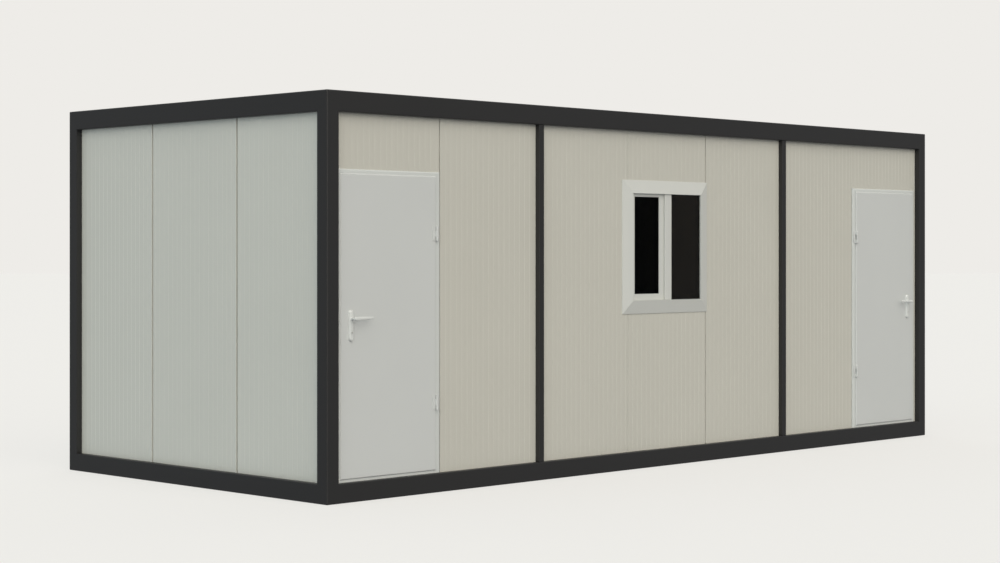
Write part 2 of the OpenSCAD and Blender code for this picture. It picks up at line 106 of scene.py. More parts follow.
def mesh_of(bm, name):
    """Turns a bmesh into a mesh with its faces outwards."""
    bmesh.ops.recalc_face_normals(bm, faces=bm.faces)
    mesh = bpy.data.meshes.new(name)
    bm.to_mesh(mesh)
    bm.free()
    return mesh


def placed(mesh, matrix):
    """Moves a mesh, and turns its faces back outwards if the move mirrors it."""
    mesh.transform(matrix)
    if matrix.determinant() < 0:
        mesh.flip_normals()
    return mesh


def shaded(mesh, angle=SMOOTH_ANGLE):
    """Smooth faces with crisp edges where they meet at more than the angle."""
    mesh.shade_smooth()
    mesh.set_sharp_from_angle(angle=math.radians(angle))
    return mesh


def joined(name, meshes):
    """One mesh from several, with the materials of each."""
    bm = bmesh.new()
    materials = []
    for mesh in meshes:
        first = len(bm.faces)
        bm.from_mesh(mesh)
        bm.faces.ensure_lookup_table()
        slots = []
        for finish in mesh.materials:
            if finish not in materials:
                materials.append(finish)
            slots.append(materials.index(finish))
        for face in bm.faces[first:]:
            if slots:
                face.material_index = slots[min(face.material_index, len(slots) - 1)]
    made = bpy.data.meshes.new(name)
    bm.to_mesh(made)
    bm.free()
    for finish in materials:
        made.materials.append(finish)
    return made


def dress(mesh, finish):
    """Gives a mesh one material all over."""
    mesh.materials.clear()
    mesh.materials.append(finish)


def evened(mesh):
    """The mesh shaded by its larger faces, so that flat faces look flat."""
    carrier = bpy.data.objects.new("carrier", mesh)
    bpy.context.scene.collection.objects.link(carrier)
    carrier.modifiers.new("evened", "WEIGHTED_NORMAL").keep_sharp = True
    bpy.context.view_layer.update()
    ready = carrier.evaluated_get(bpy.context.evaluated_depsgraph_get())
    made = bpy.data.meshes.new_from_object(ready)
    bpy.data.objects.remove(carrier)
    return made


def piece(name, mesh, finish, body, stands_for=()):
    """Makes the finished piece from its mesh; with no finish it keeps its mesh's own."""
    mesh = evened(mesh)
    made = bpy.data.objects.new(name, mesh)
    bpy.context.scene.collection.objects.link(made)
    if finish:
        dress(mesh, finish)
    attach(made, body)
    if stands_for:
        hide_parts(*stands_for)
    return made


def corners(node):
    """The lowest and highest corners of a CAD node."""
    return tuple(Vector(v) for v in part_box(node))


def merged_copy(node):
    """A copy of a CAD node's mesh with its triangles joined up."""
    bm = bmesh.new()
    bm.from_mesh(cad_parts[node].data)
    bmesh.ops.remove_doubles(bm, verts=bm.verts, dist=HAIR)
    return bm


def solids(node):
    """The corner points of each separate solid of a CAD node."""
    bm = merged_copy(node)
    bm.verts.ensure_lookup_table()
    found, seen = [], set()
    for start in bm.verts:
        if start.index in seen:
            continue
        seen.add(start.index)
        open_ends, points = [start], []
        while open_ends:
            vert = open_ends.pop()
            points.append(tuple(vert.co))
            for edge in vert.link_edges:
                other = edge.other_vert(vert)
                if other.index not in seen:
                    seen.add(other.index)
                    open_ends.append(other)
        found.append(np.array(points))
    bm.free()
    return found


def eased(node, width, segments=2, sharp=35.0):
    """A CAD node's shape with its sharp edges rounded by a small width."""
    bm = merged_copy(node)
    bmesh.ops.dissolve_limit(bm, angle_limit=math.radians(0.5),
                             verts=bm.verts, edges=bm.edges)
    edges = [e for e in bm.edges
             if e.is_manifold and e.calc_face_angle(0) > math.radians(sharp)]
    bmesh.ops.bevel(bm, geom=edges, offset=width, offset_type="OFFSET",
                    segments=segments, profile=0.5, affect="EDGES", clamp_overlap=True)
    return shaded(mesh_of(bm, node))


def box_mesh(lo, hi, bevel=0.0, segments=2):
    """A closed box between two corners, with rounded edges if asked."""
    bm = bmesh.new()
    size = Vector(hi) - Vector(lo)
    bmesh.ops.create_cube(bm, size=1.0, matrix=Matrix.Translation((Vector(lo) + Vector(hi)) / 2)
                          @ Matrix.Diagonal((*size, 1.0)))
    if bevel:
        bmesh.ops.bevel(bm, geom=list(bm.edges), offset=bevel, segments=segments,
                        profile=0.5, affect="EDGES", clamp_overlap=True)
    return mesh_of(bm, "box")


def rings_mesh(rings, name, endless=False):
    """A skin over rings of points: each end gets a face, or the last ring meets the first."""
    bm = bmesh.new()
    rows = [[bm.verts.new(p) for p in ring] for ring in rings]
    count = len(rows[0])
    for near, far in zip(rows, rows[1:] + (rows[:1] if endless else [])):
        for i in range(count):
            bm.faces.new((near[i], near[(i + 1) % count], far[(i + 1) % count], far[i]))
    if not endless:
        bm.faces.new(rows[0])
        bm.faces.new(rows[-1])
    return mesh_of(bm, name)


def rectangle(x0, x1, z0, z1, y):
    """The corners of an upright rectangle that faces the front."""
    return [(x0, y, z0), (x1, y, z0), (x1, y, z1), (x0, y, z1)]


def circle(radius, z, count):
    """Points round a circle about the Z axis."""
    return [(radius * math.cos(math.tau * i / count), radius * math.sin(math.tau * i / count), z)
            for i in range(count)]


# ---------------------------------------------------------------- materials

def material(name):
    """A new material with its nodes and its shader."""
    made = bpy.data.materials.new(name)
    made.use_nodes = True
    return made, made.node_tree, made.node_tree.nodes["Principled BSDF"]


def coated(name, colour, roughness, peel_mm=3.0, peel=0.03, tone=0.012):
    """Paint or powder on steel: a faint orange peel, and a tone that drifts a little."""
    made, tree, shader = material(name)
    where = add(tree, "ShaderNodeTexCoord").outputs["Object"]
    drift = add(tree, "ShaderNodeTexNoise",
                {"Vector": where, "Scale": 1.3, "Detail": 3.0, "Roughness": 0.55})
    tint = add(tree, "ShaderNodeValToRGB", {"Fac": drift.outputs["Fac"]})
    tint.color_ramp.elements[0].position = 0.3
    tint.color_ramp.elements[1].position = 0.7
    tint.color_ramp.elements[0].color = toned(colour, 1 - tone)
    tint.color_ramp.elements[1].color = toned(colour, 1 + tone)
    peel_noise = add(tree, "ShaderNodeTexNoise",
                     {"Vector": where, "Scale": 1 / (peel_mm * MM), "Detail": 1.5})
    gloss = add(tree, "ShaderNodeMapRange",
                {"Value": peel_noise.outputs["Fac"], "From Min": 0.3, "From Max": 0.7,
                 "To Min": roughness - 0.04, "To Max": roughness + 0.04})
    bump = add(tree, "ShaderNodeBump", {
        "Height": peel_noise.outputs["Fac"], "Strength": 1.0, "Distance": peel * MM})
    tree.links.new(tint.outputs["Color"], shader.inputs["Base Color"])
    tree.links.new(gloss.outputs["Result"], shader.inputs["Roughness"])
    tree.links.new(bump.outputs["Normal"], shader.inputs["Normal"])
    return made


def galvanised(name):
    """Hot-dip galvanised steel: flat zinc crystals a few millimetres across, each its own grey."""
    made, tree, shader = material(name)
    where = add(tree, "ShaderNodeTexCoord").outputs["Object"]
    spangle = add(tree, "ShaderNodeTexVoronoi", {"Vector": where, "Scale": 1 / (12 * MM)})
    tint = add(tree, "ShaderNodeValToRGB", {"Fac": spangle.outputs["Color"]})
    tint.color_ramp.elements[0].color = srgb("#9BA1A5")
    tint.color_ramp.elements[1].color = srgb("#C2C7CA")
    gloss = add(tree, "ShaderNodeMapRange",
                {"Value": spangle.outputs["Color"], "To Min": 0.38, "To Max": 0.55})
    tree.links.new(tint.outputs["Color"], shader.inputs["Base Color"])
    tree.links.new(gloss.outputs["Result"], shader.inputs["Roughness"])
    shader.inputs["Metallic"].default_value = 1.0
    return made


def turned_metal(name, colour, roughness):
    """Zinc-plated or nickel-plated small parts: bright metal with fine turning marks."""
    made, tree, shader = material(name)
    where = add(tree, "ShaderNodeTexCoord").outputs["Object"]
    marks = add(tree, "ShaderNodeTexNoise",
                {"Vector": where, "Scale": 1 / (0.8 * MM), "Detail": 2.0})
    gloss = add(tree, "ShaderNodeMapRange",
                {"Value": marks.outputs["Fac"],
                 "To Min": roughness - 0.08, "To Max": roughness + 0.08})
    tint = add(tree, "ShaderNodeValToRGB", {"Fac": marks.outputs["Fac"]})
    tint.color_ramp.elements[0].color = toned(colour, 0.85)
    tint.color_ramp.elements[1].color = srgb(colour)
    tree.links.new(tint.outputs["Color"], shader.inputs["Base Color"])
    tree.links.new(gloss.outputs["Result"], shader.inputs["Roughness"])
    shader.inputs["Metallic"].default_value = 1.0
    return made


def vinyl(name, colour):
    """White extruded vinyl: smooth, with die lines too fine to see except as a silky gloss."""
    made, tree, shader = material(name)
    where = add(tree, "ShaderNodeTexCoord").outputs["Object"]
    cloud = add(tree, "ShaderNodeTexNoise", {"Vector": where, "Scale": 6.0, "Detail": 2.0})
    fine = add(tree, "ShaderNodeTexNoise",
               {"Vector": where, "Scale": 1 / (1.5 * MM), "Detail": 1.0})
    tint = add(tree, "ShaderNodeValToRGB", {"Fac": cloud.outputs["Fac"]})
    tint.color_ramp.elements[0].color = toned(colour, 0.97)
    tint.color_ramp.elements[1].color = srgb(colour)
    gloss = add(tree, "ShaderNodeMapRange",
                {"Value": fine.outputs["Fac"], "To Min": 0.28, "To Max": 0.38})
    bump = add(tree, "ShaderNodeBump",
               {"Height": fine.outputs["Fac"], "Strength": 1.0, "Distance": 0.01 * MM})
    tree.links.new(tint.outputs["Color"], shader.inputs["Base Color"])
    tree.links.new(gloss.outputs["Result"], shader.inputs["Roughness"])
    tree.links.new(bump.outputs["Normal"], shader.inputs["Normal"])
    shader.inputs["IOR"].default_value = 1.53
    return made


def rubber(name):
    """Extruded black rubber: dull, with a dusty bloom."""
    made, tree, shader = material(name)
    where = add(tree, "ShaderNodeTexCoord").outputs["Object"]
    bloom = add(tree, "ShaderNodeTexNoise", {"Vector": where, "Scale": 90.0, "Detail": 3.0})
    tint = add(tree, "ShaderNodeValToRGB", {"Fac": bloom.outputs["Fac"]})
    tint.color_ramp.elements[0].color = srgb("#171717")
    tint.color_ramp.elements[1].color = srgb("#262625")
    tree.links.new(tint.outputs["Color"], shader.inputs["Base Color"])
    shader.inputs["Roughness"].default_value = 0.75
    return made


def window_pane(name, tint, ior):
    """Tinted float glass: clear, and nearly black before an unlit room.

    Its IOR is below that of glass, so that it mirrors little."""
    made, tree, shader = material(name)
    where = add(tree, "ShaderNodeTexCoord").outputs["Object"]
    film = add(tree, "ShaderNodeTexNoise", {"Vector": where, "Scale": 5.0, "Detail": 4.0})
    gloss = add(tree, "ShaderNodeMapRange",
                {"Value": film.outputs["Fac"], "From Min": 0.45, "From Max": 0.75,
                 "To Min": 0.0, "To Max": 0.03})
    tree.links.new(gloss.outputs["Result"], shader.inputs["Roughness"])
    shader.inputs["Base Color"].default_value = srgb(tint)
    shader.inputs["Transmission Weight"].default_value = 1.0
    shader.inputs["IOR"].default_value = ior
    return made


def faced_plywood(name):
    """Film-faced plywood: dark brown phenolic film pressed with a fine square mesh."""
    made, tree, shader = material(name)
    where = add(tree, "ShaderNodeTexCoord").outputs["Object"]
    mesh_print = add(tree, "ShaderNodeTexBrick",
                     {"Vector": where, "Scale": 1.0, "Mortar Size": 0.6 * MM,
                      "Mortar Smooth": 0.6, "Brick Width": 6 * MM, "Row Height": 6 * MM,
                      "Color1": (1, 1, 1, 1), "Color2": (1, 1, 1, 1), "Mortar": (0, 0, 0, 1)},
                     offset=0.0)
    stain = add(tree, "ShaderNodeTexNoise", {"Vector": where, "Scale": 2.5, "Detail": 5.0})
    tint = add(tree, "ShaderNodeValToRGB", {"Fac": stain.outputs["Fac"]})
    tint.color_ramp.elements[0].color = srgb("#4A3526")
    tint.color_ramp.elements[1].color = srgb("#6B4F3A")
    bump = add(tree, "ShaderNodeBump",
               {"Height": mesh_print.outputs["Color"], "Strength": 1.0, "Distance": 0.3 * MM})
    tree.links.new(tint.outputs["Color"], shader.inputs["Base Color"])
    tree.links.new(bump.outputs["Normal"], shader.inputs["Normal"])
    shader.inputs["Roughness"].default_value = 0.45
    return made


FRAME_PAINT = coated("rolled_steel_satin_grey_enamel", "#242323", 0.45, peel_mm=4.0, peel=0.05)
PANEL_SHEET = coated("coil_coated_steel_cream", "#C9C6BC", 0.46, peel_mm=1.6, peel=0.012)
ROOF_SHEET = coated("coil_coated_steel_light_grey", "#B8BAB8", 0.46, peel_mm=1.6, peel=0.012)
DOOR_SHEET = coated("steel_sheet_light_grey_powder", "#CFD0CE", 0.5, peel_mm=2.2, peel=0.03)
DOOR_FRAME = coated("folded_steel_white_powder", "#D1D3D0", 0.48, peel_mm=2.2, peel=0.03)
FITTINGS = coated("zinc_casting_white_enamel", "#DADBD8", 0.32, peel_mm=2.5, peel=0.02)
VINYL = vinyl("extruded_vinyl_white", "#D2D2CD")
GREY_GLASS = window_pane("float_glass_grey", "#6A6D69", 1.10)
# The fixed pane's glass is the sash's glass made lighter and warmer. The tint is a painted sheen
# for the brighter reflection on that pane, and the higher IOR makes it really reflect a little
# more.
SHEEN_PAINTED_GLASS = window_pane("float_glass_with_painted_sheen", "#837A68", 1.25)
RUBBER = rubber("extruded_rubber_black")
ZINC = galvanised("hot_dip_zinc")
SCREW_METAL = turned_metal("zinc_plated_screw", "#C9CCCE", 0.32)
NICKEL = turned_metal("nickel_plated_brass", "#E0DED6", 0.5)
SPACER = turned_metal("black_anodised_aluminium_spacer", "#2B2C2D", 0.4)
PLYWOOD = faced_plywood("film_faced_plywood")


# ---------------------------------------------------------------- repeating shapes

def ribbed_sheet_tree():
    """A slab folded into crests and grooves across its width, with a crest at both edges.

    It lies in the XY plane: X across the ribs, Y along them, Z into the slab."""
    tree = group("ribbed_sheet", {
        "Ribs": "NodeSocketInt", "Width": "NodeSocketFloat", "Length": "NodeSocketFloat",
        "Thickness": "NodeSocketFloat", "Rib depth": "NodeSocketFloat",
        "Crest": "NodeSocketFloat", "Flank": "NodeSocketFloat",
        "Material": "NodeSocketMaterial"})
    given = add(tree, "NodeGroupInput").outputs
    shared = add(tree, "ShaderNodeMath", {0: given["Width"], 1: given["Crest"]},
                 operation="SUBTRACT").outputs[0]
    pitch = add(tree, "ShaderNodeMath", {0: shared, 1: given["Ribs"]},
                operation="DIVIDE").outputs[0]
    across = add(tree, "ShaderNodeMath", {0: given["Ribs"], 1: 4.0, 2: 2.0},
                 operation="MULTIPLY_ADD").outputs[0]
    grid = add(tree, "GeometryNodeMeshGrid", {
        "Size X": given["Width"], "Size Y": given["Length"],
        "Vertices X": across, "Vertices Y": 2})
    half_index = add(tree, "ShaderNodeMath",
                     {0: add(tree, "GeometryNodeInputIndex").outputs[0], 1: 2.0},
                     operation="DIVIDE").outputs[0]
    column = add(tree, "ShaderNodeMath", {0: half_index}, operation="FLOOR").outputs[0]
    quarter = add(tree, "ShaderNodeMath", {0: column, 1: 4.0}, operation="DIVIDE").outputs[0]
    rib = add(tree, "ShaderNodeMath", {0: quarter}, operation="FLOOR").outputs[0]
    step = add(tree, "ShaderNodeMath", {0: column, 1: 4.0}, operation="MODULO").outputs[0]
    past_crest, past_flank, past_groove = [
        add(tree, "ShaderNodeMath", {0: step, 1: limit}, operation="GREATER_THAN").outputs[0]
        for limit in (0.5, 1.5, 2.5)]
    both_flanks = add(tree, "ShaderNodeMath", {0: given["Flank"], 1: 2.0, 2: given["Crest"]},
                      operation="MULTIPLY_ADD").outputs[0]
    groove = add(tree, "ShaderNodeMath", {0: pitch, 1: both_flanks},
                 operation="SUBTRACT").outputs[0]
    x = add(tree, "ShaderNodeMath", {0: rib, 1: pitch}, operation="MULTIPLY").outputs[0]
    for here, length in ((past_crest, given["Crest"]), (past_flank, given["Flank"]),
                         (past_groove, groove)):
        x = add(tree, "ShaderNodeMath", {0: here, 1: length, 2: x},
                operation="MULTIPLY_ADD").outputs[0]
    z = add(tree, "ShaderNodeMath", {0: past_flank, 1: given["Rib depth"]},
            operation="MULTIPLY").outputs[0]
    here = add(tree, "ShaderNodeSeparateXYZ",
               {0: add(tree, "GeometryNodeInputPosition").outputs[0]}).outputs
    length_up = add(tree, "ShaderNodeMath", {0: given["Length"], 1: 0.5, 2: here["Y"]},
                    operation="MULTIPLY_ADD").outputs[0]
    folded = add(tree, "GeometryNodeSetPosition", {
        "Geometry": grid.outputs["Mesh"],
        "Position": add(tree, "ShaderNodeCombineXYZ", {0: x, 1: length_up, 2: z}).outputs[0]})
    push = add(tree, "ShaderNodeCombineXYZ", {2: given["Thickness"]}).outputs[0]
    thick = add(tree, "GeometryNodeExtrudeMesh", {
        "Mesh": folded.outputs[0], "Offset": push, "Individual": False})
    front = add(tree, "GeometryNodeFlipFaces", {"Mesh": folded.outputs[0]})
    both = add(tree, "GeometryNodeJoinGeometry")
    for part in (thick.outputs["Mesh"], front.outputs[0]):
        tree.links.new(part, both.inputs[0])
    closed = add(tree, "GeometryNodeMergeByDistance",
                 {"Geometry": both.outputs[0], "Distance": 0.02 * MM})
    real = add(tree, "GeometryNodeRealizeInstances", {0: closed.outputs[0]})
    dressed = add(tree, "GeometryNodeSetMaterial",
                  {"Geometry": real.outputs[0], "Material": given["Material"]})
    add(tree, "NodeGroupOutput", {0: dressed.outputs[0]})
    return tree


def fasteners_tree():
    """A head on every point, each turned by its own angle about the axis it faces."""
    tree = group("fasteners", {
        "Places": "NodeSocketGeometry", "Head": "NodeSocketObject",
        "Facing": "NodeSocketVector", "Seed": "NodeSocketInt", "Material": "NodeSocketMaterial"})
    given = add(tree, "NodeGroupInput").outputs
    head = add(tree, "GeometryNodeObjectInfo", {"Object": given["Head"]})
    turn = add(tree, "FunctionNodeRandomValue",
               {"Min": (0.0, 0.0, 0.0), "Max": (0.0, 0.0, math.tau), "Seed": given["Seed"]},
               data_type="FLOAT_VECTOR").outputs[0]
    faced = add(tree, "FunctionNodeAlignRotationToVector", {"Vector": given["Facing"]}, axis="Z")
    spun = add(tree, "FunctionNodeEulerToRotation", {0: turn})
    both = add(tree, "FunctionNodeRotateRotation",
               {0: faced.outputs[0], 1: spun.outputs[0]}, rotation_space="LOCAL")
    heads = add(tree, "GeometryNodeInstanceOnPoints", {
        "Points": given["Places"], "Instance": head.outputs["Geometry"],
        "Rotation": both.outputs[0]})
    real = add(tree, "GeometryNodeRealizeInstances", {0: heads.outputs[0]})
    dressed = add(tree, "GeometryNodeSetMaterial",
                  {"Geometry": real.outputs[0], "Material": given["Material"]})
    add(tree, "NodeGroupOutput", {0: dressed.outputs[0]})
    return tree


def strip_tree():
    """A round strip along the edges of the source mesh."""
    tree = group("strip", {
        "Path": "NodeSocketGeometry", "Radius": "NodeSocketFloat",
        "Material": "NodeSocketMaterial"})
    given = add(tree, "NodeGroupInput").outputs
    path = add(tree, "GeometryNodeMeshToCurve", {0: given["Path"]})
    round_edge = add(tree, "GeometryNodeCurvePrimitiveCircle",
                     {"Resolution": 12, "Radius": given["Radius"]}, mode="RADIUS")
    strip = add(tree, "GeometryNodeCurveToMesh", {
        "Curve": path.outputs[0], "Profile Curve": round_edge.outputs[0], "Fill Caps": True})
    real = add(tree, "GeometryNodeRealizeInstances", {0: strip.outputs[0]})
    dressed = add(tree, "GeometryNodeSetMaterial",
                  {"Geometry": real.outputs[0], "Material": given["Material"]})
    add(tree, "NodeGroupOutput", {0: dressed.outputs[0]})
    return tree


RIBBED_SHEET = ribbed_sheet_tree()
FASTENERS = fasteners_tree()
STRIP = strip_tree()


# ---------------------------------------------------------------- walls

RIB_PITCH = 51.5 * MM
RIB_DEPTH = 0.9 * MM
RIB_CREST = 28 * MM      # width of a rib's flat top
RIB_FLANK = 1.3 * MM     # width of the slope beside it
SHEET_FOLD = 2.0 * MM    # radius where the sheet turns into a joint
JOINT_MOST = 10 * MM     # edges nearer than this share a joint
JOINT_SETBACK = 1.2 * MM     # how far a sheet stands back from a joint of the front wall
END_SETBACK = 4.4 * MM       # the same on the other walls, whose joints are wider
TIGHT_JOINT_X = -490 * MM    # the front joint left of the window, whose sheets nearly meet
TIGHT_SETBACK = -2.0 * MM    # so there they stand forward into it
TONGUE_DROP = 8 * MM     # how much deeper a tongue lies than its solid does
TONGUE_ROOT = 5 * MM     # how far a tongue reaches back into its own panel
TONGUE_NIP = 0.2 * MM    # how far it reaches into the next one, so that no light passes
PAST = 50 * MM           # how far a cutting shape runs past what it cuts

# The directions along a wall and inward from its face
FRONT = (Vector((1, 0, 0)), Vector((0, 1, 0)))
BACK = (Vector((1, 0, 0)), Vector((0, -1, 0)))
LEFT = (Vector((0, -1, 0)), Vector((1, 0, 0)))
RIGHT = (Vector((0, -1, 0)), Vector((-1, 0, 0)))


def face_span(points, along, inward):
    """Where the face of a panel starts and ends along its wall."""
    across = points @ np.array(along)
    deep = points @ np.array(inward)
    face = deep < deep.min() + 0.1 * MM
    return across[face].min(), across[face].max()


def wall_panel(points, along, inward, edges):
    """One ribbed sandwich panel where a CAD solid stands, with its tongue."""
    across = points @ np.array(along)
    deep = points @ np.array(inward)
    height = points[:, 2]
    start, end = face_span(points, along, inward)
    setback = []
    for edge in (start, end):
        at_joint = any(1 * MM < abs(other - edge) < JOINT_MOST for other in edges)
        opened = JOINT_SETBACK if inward == FRONT[1] else END_SETBACK
        if inward == FRONT[1] and abs(edge - TIGHT_JOINT_X) < JOINT_MOST:
            opened = TIGHT_SETBACK
        setback.append(opened if at_joint else 0.0)
    reach = across.max() - end
    start += setback[0]
    end -= setback[1]
    thick = deep.max() - deep.min()
    bm = bmesh.new()
    if end - start > RIB_PITCH:
        bm.from_mesh(grown("sheet", RIBBED_SHEET, {
            "Ribs": max(1, round((end - start - RIB_CREST) / RIB_PITCH)),
            "Width": float(end - start), "Length": float(np.ptp(height)),
            "Thickness": float(thick - RIB_DEPTH), "Rib depth": RIB_DEPTH,
            "Crest": RIB_CREST, "Flank": RIB_FLANK, "Material": PANEL_SHEET}))
    else:
        bm.from_mesh(box_mesh((0, 0, 0), (end - start, np.ptp(height), thick)))
    folds = [e for e in bm.edges
             if abs(e.verts[0].co.x - e.verts[1].co.x) < HAIR
             and abs(e.verts[0].co.z - e.verts[1].co.z) < HAIR
             and (e.verts[0].co.x < HAIR or e.verts[0].co.x > end - start - HAIR)]
    bmesh.ops.bevel(bm, geom=folds, offset=SHEET_FOLD, offset_type="OFFSET", segments=3,
                    profile=0.5, affect="EDGES", clamp_overlap=True)
    parts = [shaded(mesh_of(bm, "panel"))]
    if reach > 1 * MM:
        past = across > across.max() - 1 * MM
        parts.append(box_mesh(
            (end - start - TONGUE_ROOT, 0, deep[past].min() - deep.min() + TONGUE_DROP),
            (across.max() + setback[1] + TONGUE_NIP - start, np.ptp(height),
             deep[past].max() - deep.min()), 0.1 * MM))
    turn = Matrix.Identity(4)
    for column, axis in enumerate((along, Vector((0, 0, 1)), inward)):
        for row in range(3):
            turn[row][column] = axis[row]
    spot = along * start + inward * deep.min() + Vector((0, 0, height.min()))
    return [placed(part, Matrix.Translation(spot) @ turn) for part in parts]


def cut(mesh, hole):
    """The mesh with the hole's shape taken out of it."""
    body = bpy.data.objects.new("body", mesh)
    tool = bpy.data.objects.new("tool", hole)
    for thing in (body, tool):
        bpy.context.scene.collection.objects.link(thing)
    knife = body.modifiers.new("cut", "BOOLEAN")
    knife.object = tool
    knife.solver = "EXACT"
    bpy.context.view_layer.update()
    ready = body.evaluated_get(bpy.context.evaluated_depsgraph_get())
    made = bpy.data.meshes.new_from_object(ready)
    for thing in (body, tool):
        bpy.data.objects.remove(thing)
    return made


def wall(node, side, edges):
    """All the panels of one CAD wall node as one piece."""
    parts = [part for points in solids(node) for part in wall_panel(points, *side, edges)]
    if node == "window_panel":
        lo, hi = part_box("window_lining")
        hole = box_mesh((lo[0] - SEAT, lo[1] - PAST, lo[2] - SEAT),
                        (hi[0] + SEAT, hi[1] + PAST, hi[2] + SEAT))
        parts[0] = cut(parts[0], hole)
    piece(f"{node}_ribbed", shaded(joined(node, parts)), PANEL_SHEET, "cabin",
          [node])


WALLS = ((FRONT, ("panel_over_left_door", "panel_beside_left_door", "panel_left_of_window",
                  "window_panel", "panel_right_of_window", "panel_beside_right_door",
                  "panel_over_right_door")),
         (LEFT, ("left_wall_panels",)), (RIGHT, ("right_wall_panels",)),
         (BACK, ("back_wall_panels",)))
for side, names in WALLS:
    edges = [edge for name in names for points in solids(name)
             for edge in face_span(points, *side)]
    for name in names:
        wall(name, side, edges)


# ---------------------------------------------------------------- steel frame

BEAM_ROUND = 8 * MM      # radius of the outer edges of the beams


def corner_post(node):
    """A square post whose outer edges are rolled like those of the beams."""
    lo, hi = corners(node)
    middle = (lo + hi) / 2
    outer = [lo[i] if middle[i] < 0 else hi[i] for i in (0, 1)]
    bm = bmesh.new()
    bm.from_mesh(box_mesh(lo, hi))

    def on_outside(edge, axis):
        return all(abs(v.co[axis] - outer[axis]) < HAIR for v in edge.verts)

    rolled = []
    for edge in bm.edges:
        upright = abs(edge.verts[0].co.z - edge.verts[1].co.z) > 1 * MM
        faces_out = [on_outside(edge, axis) for axis in (0, 1)]
        if all(faces_out) if upright else any(faces_out):
            rolled.append(edge)
    bmesh.ops.bevel(bm, geom=rolled, offset=BEAM_ROUND, segments=5, profile=0.5,
                    affect="EDGES", clamp_overlap=True)
    piece(f"{node}_rolled", shaded(mesh_of(bm, node), 30), FRAME_PAINT, "cabin",
          [node])


for name in ("front_left_post", "front_right_post", "back_left_post", "back_right_post"):
    corner_post(name)
for name in ("front_mid_posts", "back_mid_posts"):
    piece(f"{name}_folded", eased(name, 3 * MM, 3), FRAME_PAINT, "cabin",
          [name])


# ---------------------------------------------------------------- floor and roof

SCREW_RISE = 0.9 * MM    # height of a screw's head above its edge


def screw_head(radius=4 * MM, rise=SCREW_RISE):
    """A countersunk head with a cross recess, its edge at z = 0, looking along +Z."""
    mesh = rings_mesh([circle(radius * r, z, 12) for r, z in (
        (0.35, rise * 0.55), (0.7, rise * 0.9), (0.93, rise * 0.5), (1.0, 0.0), (0.6, -rise))],
        "screw_head")
    for long, wide in ((0.55, 0.1), (0.1, 0.55)):
        mesh = cut(mesh, box_mesh((-radius * long, -radius * wide, -rise * 0.6),
                                  (radius * long, radius * wide, rise * 2)))
    return mesh


def hex_head(radius=5.5 * MM, height=5 * MM, washer=8 * MM):
    """A hexagon head on a rubber-backed washer."""
    cap = rings_mesh([circle(r, z, 6) for r, z in (
        (radius * 0.8, height), (radius, height * 0.85), (radius, 1.6 * MM))], "hex")
    disc = rings_mesh([circle(r, z, 14) for r, z in (
        (washer * 0.55, 1.9 * MM), (washer * 0.95, 1.5 * MM), (washer, 1.0 * MM),
        (washer, -0.2 * MM))], "washer")
    return joined("hex_head", [cap, disc])


def heads(name, head_mesh, points, facing, seed, finish):
    """The same head on each point, as one mesh."""
    head = bpy.data.objects.new("head", head_mesh)
    places = bpy.data.meshes.new("places")
    places.from_pydata([tuple(p) for p in points], [], [])
    made = grown(name, FASTENERS, {"Head": head, "Facing": facing, "Seed": seed,
                                   "Material": finish}, places)
    bpy.data.objects.remove(head)
    dress(made, finish)
    return shaded(made, 30)


SCREW = screw_head()
HEX = hex_head()

BOARDS_X, BOARDS_Y = 5, 2
BOARD_JOINT = 1.5 * MM
BOARD_DROP = 0.8 * MM        # the boards lie this much below the screws' highest point
FLOOR_SCREW_ROWS = 9
FLOOR_SCREW_EDGE = 60 * MM   # edge of the deck to the nearest row
ROOF_SCREW_ROWS = 7
ROOF_SCREW_SPAN = 2760 * MM  # first row to last row
CREST_MOST = 35 * MM         # a roof rib's crest is narrower than this, and its gaps are wider

JOISTS = solids("floor_joists")


def floor_boards(lo, hi):
    """The deck's boards, with a joint between each and the next."""
    made = []
    for i in range(BOARDS_X):
        for j in range(BOARDS_Y):
            step = Vector(((hi.x - lo.x) / BOARDS_X, (hi.y - lo.y) / BOARDS_Y, 0))
            near = lo + Vector((step.x * i, step.y * j, 0))
            near += Vector((BOARD_JOINT / 2 if i else 0, BOARD_JOINT / 2 if j else 0, 0))
            far = Vector((lo.x + step.x * (i + 1), lo.y + step.y * (j + 1), hi.z))
            far -= Vector((BOARD_JOINT / 2 if i < BOARDS_X - 1 else 0,
                           BOARD_JOINT / 2 if j < BOARDS_Y - 1 else 0, BOARD_DROP))
            made.append(box_mesh(near, far, 1 * MM))
    return made


def floor_screw_places(lo, hi):
    """Rows of screws that hold the boards down along the joists."""
    run = hi.y - lo.y - 2 * FLOOR_SCREW_EDGE
    return [((points[:, 0].min() + points[:, 0].max()) / 2,
             lo.y + FLOOR_SCREW_EDGE + k * run / (FLOOR_SCREW_ROWS - 1), hi.z - SCREW_RISE)
            for points in JOISTS for k in range(FLOOR_SCREW_ROWS)]


deck_lo, deck_hi = corners("floor_deck")
piece("floor_boards", shaded(joined("floor_boards", floor_boards(deck_lo, deck_hi))), PLYWOOD,
      "cabin", ["floor_deck"])
piece("floor_screws", heads("floor_screws", SCREW, floor_screw_places(deck_lo, deck_hi),
                            (0, 0, 1), 11, SCREW_METAL), SCREW_METAL, "cabin")


def lipped_channel(lo, hi, steel=2 * MM, lip=12 * MM):
    """A cold-formed joist: a web on one side, flanges and lips, open towards +X."""
    w, h = hi[0] - lo[0], hi[2] - lo[2]
    outline = [(0, 0), (w, 0), (w, lip), (w - steel, lip), (w - steel, steel),
               (steel, steel), (steel, h - steel), (w - steel, h - steel),
               (w - steel, h - lip), (w, h - lip), (w, h), (0, h)]
    rings = [[(lo[0] + x, y, lo[2] + z) for x, z in outline] for y in (lo[1], hi[1])]
    return rings_mesh(rings, "joist")


